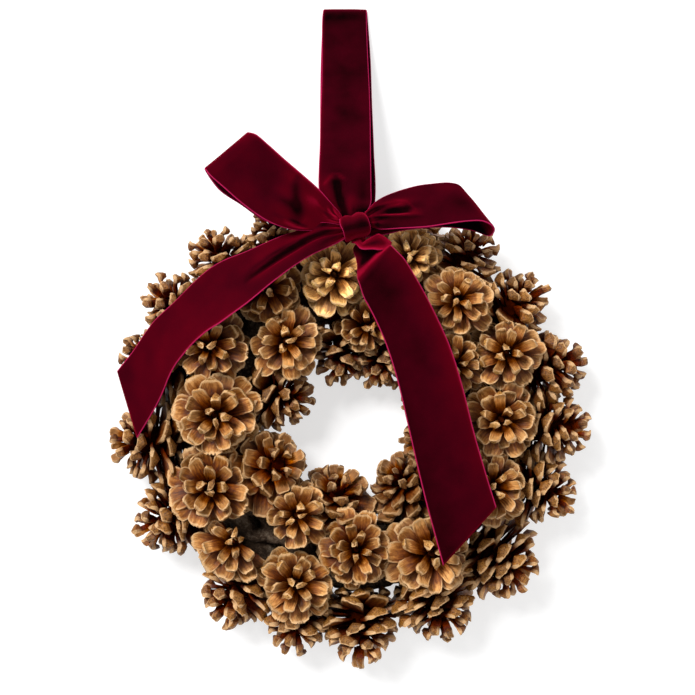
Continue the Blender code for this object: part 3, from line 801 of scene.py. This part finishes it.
def cone_tree(shapes):
    """A pine cone, seat at the origin and tip along +Z: scales at the golden angle on a core."""
    tree, node, given = new_tree(
        "open pine cone", Int=["Scales", "First", "Seed"], Object=["Room"], Material=["Wood"],
        Float=["Length", "Reach", "Core", "Opening", "Even", "Breadth", "Past Seat", "Past Tip",
               "Turn", "Tone"])

    points = node("Points", given["Scales"])
    index = node("InputIndex")
    last = node("Math SUBTRACT", given["Scales"], 1)
    tier = node("Math DIVIDE", index, last)

    # From the seat (0) to the tip (1): how far the scale leans out from the axis, its length as
    # a share of the cone's reach, its width, the height of its stalk on the core, and how much
    # of Past Seat, rather than Past Tip, it follows.
    lean, share, broad, stalk, spill = (
        curve_points(node("FloatCurve", 1, tier), points) for points in (
            ((0, 1), (0.3, 0.86), (0.5, 0.75), (0.7, 0.64), (0.86, 0.5), (0.93, 0.36),
             (0.96, 0.2), (1, 0.03)),
            ((0, 0.94), (0.15, 0.98), (0.35, 1.02), (0.6, 1), (0.78, 0.92), (0.9, 0.82),
             (0.96, 0.56), (1, 0.38)),
            ((0, 1.35), (0.3, 1.2), (0.55, 1.08), (0.72, 0.86), (0.86, 0.66), (1, 0.46)),
            ((0, 0.05), (0.2, 0.16), (0.5, 0.38), (0.85, 0.62), (1, 0.72)),
            ((0, 1), (0.12, 0.7), (0.25, 0.33), (0.5, 0.16), (1, 0))))

    each = {"ID": index, "Seed": given["Seed"]}
    wobble = node("RandomValue", (-0.36, -0.17, -0.17), (0.36, 0.17, 0.17),
                  data_type="FLOAT_VECTOR", **each)
    parts = node("SeparateXYZ", wobble).outputs
    # Inputs 2 and 3 of a random value are a number's least and most, and 4 and 5 a whole one's.
    size = node("RandomValue", numbered={2: 0.88, 3: 1.12}, **each).outputs[1]

    leaning = node("Math MULTIPLY_ADD", lean, 2, given["Opening"])
    leaning = node("Math ADD", leaning, parts[1])
    tilt = node("Math SUBTRACT", leaning, math.pi / 2)
    around = node("Math MULTIPLY_ADD", index, GOLDEN_ANGLE, given["Turn"])
    around = node("Math ADD", around, parts[2])
    facing = node("CombineXYZ", parts[0], tilt, around)
    facing = node("EulerToRotation", facing)

    taper = node("MapRange", tier, 0, 1, 1, 0.35)
    off_axis = node("Math MULTIPLY", taper, given["Core"])
    spaced = node("Math MULTIPLY", tier, 0.76)
    apart = node("Math SUBTRACT", spaced, stalk)
    stalk = node("Math MULTIPLY_ADD", apart, given["Even"], stalk)
    height = node("Math MULTIPLY", stalk, given["Length"])
    root = node("CombineXYZ", off_axis, 0, height)
    spun = node("VectorRotate", root, Angle=around, rotation_type="Z_AXIS")
    placed = node("SetPosition", Geometry=points, Position=spun)

    # A scale grows to the edge of the cone's room times a share that goes from Past Seat to Past
    # Tip, and one with no room to grow is left out, unless it is near the tip.
    position = node("InputPosition")
    direction = node("RotateVector", (1, 0, 0), facing)
    outline = node("ObjectInfo", given["Room"])
    ray = node("Raycast", Target_Geometry=outline.outputs["Geometry"], Source_Position=position,
               Ray_Direction=direction, Ray_Length=0.05)
    past = node("MapRange", spill, 0, 1, given["Past Tip"], given["Past Seat"])
    met = node("Math MULTIPLY", ray.outputs["Hit Distance"], past)
    met = node("Math MULTIPLY", met, size)
    room = node("Switch", ray.outputs["Is Hit"], 0, met, input_type="FLOAT")
    wish = node("Math MULTIPLY", share, given["Reach"])
    wish = node("Math MULTIPLY", wish, size)
    length = node("Math MINIMUM", wish, room)
    cramped = node("Math LESS_THAN", length, 0.005)
    low = node("Math LESS_THAN", tier, 0.8)
    drop = node("BooleanMath AND", cramped, low)

    stretch = node("Math DIVIDE", length, SCALE_LENGTH * MM)
    slim = node("MapRange", stretch, 0.4, 1, 0.62, 1)
    width = node("Math DIVIDE", given["Reach"], DRAWN_REACH * MM)
    for more in (given["Breadth"], broad, slim):
        width = node("Math MULTIPLY", width, more)
    sizes = node("CombineXYZ", stretch, width, 1)

    kinds = [node("ObjectInfo", shape, As_Instance=True).outputs["Geometry"]
             for shape in reversed(shapes)]
    choices = node("JoinGeometry", kinds)
    which = node("RandomValue", numbered={4: 0, 5: 3}, data_type="INT", **each).outputs[2]
    upper = node("Math GREATER_THAN", tier, 0.66)
    number = node("Math MULTIPLY_ADD", upper, 4, which)
    offset = node("Math ADD", which, given["First"])
    is_side = node("Math GREATER_THAN", given["First"], 0.5)
    number = node("Switch", is_side, number, offset, input_type="INT")
    shade = node("RandomValue", numbered={2: 0, 3: 1}, **each).outputs[1]
    kept = placed
    for label, value, kind in (
            ("tier", tier, "FLOAT"), ("pick", shade, "FLOAT"), ("facing", facing, "QUATERNION"),
            ("sizes", sizes, "FLOAT_VECTOR"), ("shape", number, "INT")):
        kept = node("StoreNamedAttribute", kept, Name=label, Value=value, data_type=kind)
    growing = node("DeleteGeometry", kept, drop, domain="POINT")
    turns, spans, picks = (
        node("InputNamedAttribute", label, data_type=kind) for label, kind in (
            ("facing", "QUATERNION"), ("sizes", "FLOAT_VECTOR"), ("shape", "INT")))
    scales = node("InstanceOnPoints", Points=growing, Instance=choices, Pick_Instance=True,
                  Instance_Index=picks, Rotation=turns, Scale=spans)

    tall = node("Math MULTIPLY", given["Length"], 0.7)
    blunt = node("Math MULTIPLY_ADD", given["Core"], 0.5, -0.0022)
    rachis = node("MeshCone", 10, 3, 1, Radius_Top=blunt, Radius_Bottom=given["Core"], Depth=tall,
                  fill_type="NGON")
    together = node("JoinGeometry", [rachis, scales])
    plain = node("RealizeInstances", together)
    # Dry scales are never true: warp them by up to 0.7 mm over a few millimetres.
    skin = node("InputPosition")
    warp = node("TexNoise", Vector=skin, W=given["Turn"], Scale=210, Detail=2.5, Roughness=0.6,
                noise_dimensions="4D")
    middle = node("VectorMath SUBTRACT", warp.outputs["Color"], (0.5, 0.5, 0.5))
    nudge = node("VectorMath SCALE", middle, Scale=0.0036)
    warped = node("SetPosition", Geometry=plain, Offset=nudge)
    toned = node("StoreNamedAttribute", Geometry=warped, Name="tone", Value=given["Tone"],
                 data_type="FLOAT")
    dressed = node("SetMaterial", toned, Material=given["Wood"])
    node("GroupOutput", dressed)
    return tree


def ring_skin(clock, section_angle):
    """A point on the ring that the cones sit on."""
    angle = math.radians(section_angle)
    radius, wide, high = SEAT_RING
    return clock_point(clock, radius + wide * math.cos(angle),
                       VINE_MIDDLE + high * math.sin(angle))


def room_for(node, to_local):
    """The outline of the space a cone's CAD solid gives it, in the cone's own frame."""
    outline = bmesh.new()
    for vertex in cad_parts[node].data.vertices:
        outline.verts.new(to_local @ vertex.co)
    bmesh.ops.convex_hull(outline, input=outline.verts)
    return solid("room", outline)


def tuck_under(mesh, cover):
    """Pushes a cone's scales down where they would come up through the bow.

    The bow is looked for up to 9 mm below a scale, and its next layer up to 4 mm below the last.
    """
    down = Vector((0, 0, -1))
    for vertex in mesh.vertices:
        lowest = None
        hit = cover.ray_cast(vertex.co, down, 0.009)
        while hit[0] is not None:
            lowest = hit[0].z
            hit = cover.ray_cast(hit[0] + down * 1e-5, down, 0.004)
        if lowest is not None:
            vertex.co.z = lowest - BOW_CLEARANCE * MM


wood = cone_material()
bow_points, bow_faces = [], []
for name, (made, length) in velvet_pieces.items():
    if name != "hanging_ribbon":
        start = len(bow_points)
        bow_points += [vertex.co.copy() for vertex in made.data.vertices]
        bow_faces += [[start + k for k in face.vertices] for face in made.data.polygons]
bow_cover = BVHTree.FromPolygons(bow_points, bow_faces)
# Each scale's name, its width, where along it is that wide, dish, plate depth, curl, hook,
# uneven, notch, twist, stem and thickness. The first four fill a cone seen on its tip, the next
# four its middle, and the last four a cone seen on its side.
SHAPES = tuple(scale_shape(name, SCALE_WIDTH * width, *rest) for name, width, *rest in (
    ("broad scale", 1, 0.84, 1.3, 1, 0.02, 0, 0.6, 0, 0.08, 0.5, 1),
    ("cupped scale", 0.94, 0.76, 1.8, 1.1, 0.08, 0.4, 0, 0, -0.06, 0.5, 1),
    ("drooping scale", 1.08, 0.88, 0.6, 1, -0.04, 0.1, -0.5, 0.2, 0, 0.5, 1),
    ("lobed scale", 0.98, 0.8, 1.1, 1, 0.03, 0.2, 0.2, 0.5, -0.12, 0.5, 1),
    ("finger scale", 0.84, 0.62, 0.8, 1, 0.05, 0.3, 0.3, 0, 0.1, 0.65, 1.4),
    ("knobbed scale", 0.74, 0.58, 0.4, 1.2, 0.02, 0.9, 0.5, 0, 0, 0.7, 1.5),
    ("thin scale", 0.88, 0.7, 1.2, 0.9, 0.08, 0.1, -0.4, 0.3, -0.15, 0.6, 1.2),
    ("hooked scale", 0.78, 0.64, 0.6, 1, -0.03, 1.1, 0, 0.2, 0.12, 0.65, 1.5),
    ("side scale", 0.84, 0.66, 0.6, 1.4, 0.05, 0.2, 0.2, 0, 0.08, 0.72, 1.15),
    ("blunt side scale", 0.92, 0.74, 0.7, 1.55, 0.02, 0.1, 0, 0, -0.1, 0.7, 1.15),
    ("narrow side scale", 0.66, 0.58, 0.4, 1.25, 0.08, 0.4, 0.3, 0, 0.05, 0.82, 1.4),
    ("split side scale", 0.8, 0.7, 0.8, 1.25, -0.02, 0.2, -0.2, 0.3, 0.12, 0.74, 1.1),
))
open_cone = cone_tree(SHAPES)
rows = []
for number, (clock, radius, height, diameter, tone) in enumerate(OUTER_ROW):
    rows.append((f"outer_cone_{number + 1:02d}", clock_point(clock, radius, height),
                 ring_skin(clock, OUTER_SEAT), diameter, tone))
for label, table in (("front", FRONT_ROW), ("inner", INNER_ROW)):
    for number, (clock, radius, height, at, angle, diameter, tone) in enumerate(table):
        rows.append((f"{label}_cone_{number + 1:02d}", clock_point(clock, radius, height),
                     ring_skin(at, angle), diameter, tone))
for number, (node, tip, seat, diameter, tone) in enumerate(rows):
    axis = (tip - seat).normalized()
    seat = seat + axis * SEAT_LIFT * MM
    upright = Vector((0, 0, 1)).rotation_difference(axis).to_matrix().to_4x4()
    place = Matrix.Translation(seat) @ upright
    room = room_for(node, place.inverted())
    outer = node.startswith("outer")
    sideways = not node.startswith("front")
    mesh = grown(
        open_cone, Scales=(54 if sideways else 46) + number % 5, Length=(tip - seat).length,
        Reach=diameter / 2 * MM, Core=diameter * (0.26 if sideways else 0.13) * MM,
        Opening=0.08 * math.sin(number * 1.7), Even=0.8 if outer else 0.5 if sideways else 0.0,
        Breadth=1.2 if outer else 1.35 if sideways else 1.06, First=8 if sideways else 0,
        Past_Seat=3.6 if sideways else 1.22, Past_Tip=1.14 if outer else 1.25,
        Turn=number * 1.31, Tone=tone, Seed=number, Room=room, Wood=wood)
    bpy.data.objects.remove(room)
    mesh.transform(place)
    for vertex in mesh.vertices:
        vertex.co.z = max(vertex.co.z, TABLE_CLEARANCE * MM)
    tuck_under(mesh, bow_cover)
    cone = link(bpy.data.objects.new("pine_" + node, mesh))
    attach(cone, "root")
    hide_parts(node)
for shape in SHAPES:
    bpy.data.objects.remove(shape)


# ----------------------------------------
# Surroundings: a white table top, soft light from above and to the left, and a camera that looks
# straight down.
# ----------------------------------------
# Twelve metres square, so that it fills the camera's view.
floor_mesh = bpy.data.meshes.new("table_top")
floor_mesh.from_pydata([(-6, -6, 0), (6, -6, 0), (6, 6, 0), (-6, 6, 0)], [], [(0, 1, 2, 3)])
table_top = link(bpy.data.objects.new("table_top", floor_mesh))
white, node = new_material("white seamless paper")
shader = node("BsdfPrincipled", Base_Color=linear("#b8b8b8"), Roughness=0.9,
              Specular_IOR_Level=0.1, Emission_Color=linear("#ffffff"), Emission_Strength=0.62)
node("OutputMaterial", shader)
floor_mesh.materials.append(white)

bpy.context.scene.view_settings.view_transform = "Standard"
world = bpy.data.worlds.new("studio")
bpy.context.scene.world = world
world.use_nodes = True
background = world.node_tree.nodes["Background"].inputs
background["Color"].default_value = (1, 1, 1, 1)
background["Strength"].default_value = 0.42


def lamp(name, x, y, z, size, power, target):
    """A round lamp at a place in metres, with its width, its power in watts and its target."""
    data = bpy.data.lights.new(name, "AREA")
    data.shape = "DISK"
    data.size = size
    data.energy = power
    made = link(bpy.data.objects.new(name, data))
    made.location = (x, y, z)
    aim = Vector(target) - Vector((x, y, z))
    made.rotation_euler = aim.to_track_quat("-Z", "Y").to_euler()


lamp("key", -0.7, 0.75, 1.4, 0.6, 36.0, (0, 0, 0.03))
lamp("fill", 1.1, -0.5, 1.5, 1.2, 5.0, (0, 0, 0.03))

# A 55 mm lens 0.8 m above the table, over the middle of the wreath and its hanger.
camera_data = bpy.data.cameras.new("camera")
camera_data.lens = 55.0
camera_data.sensor_width = 36.0
camera_data.clip_start = 0.01
camera = link(bpy.data.objects.new("camera", camera_data))
camera.location = WREATH_CENTRE + Vector((-1.45, 55.5, 800.0)) * MM
camera.rotation_euler = (0, 0, 0)
bpy.context.scene.camera = camera
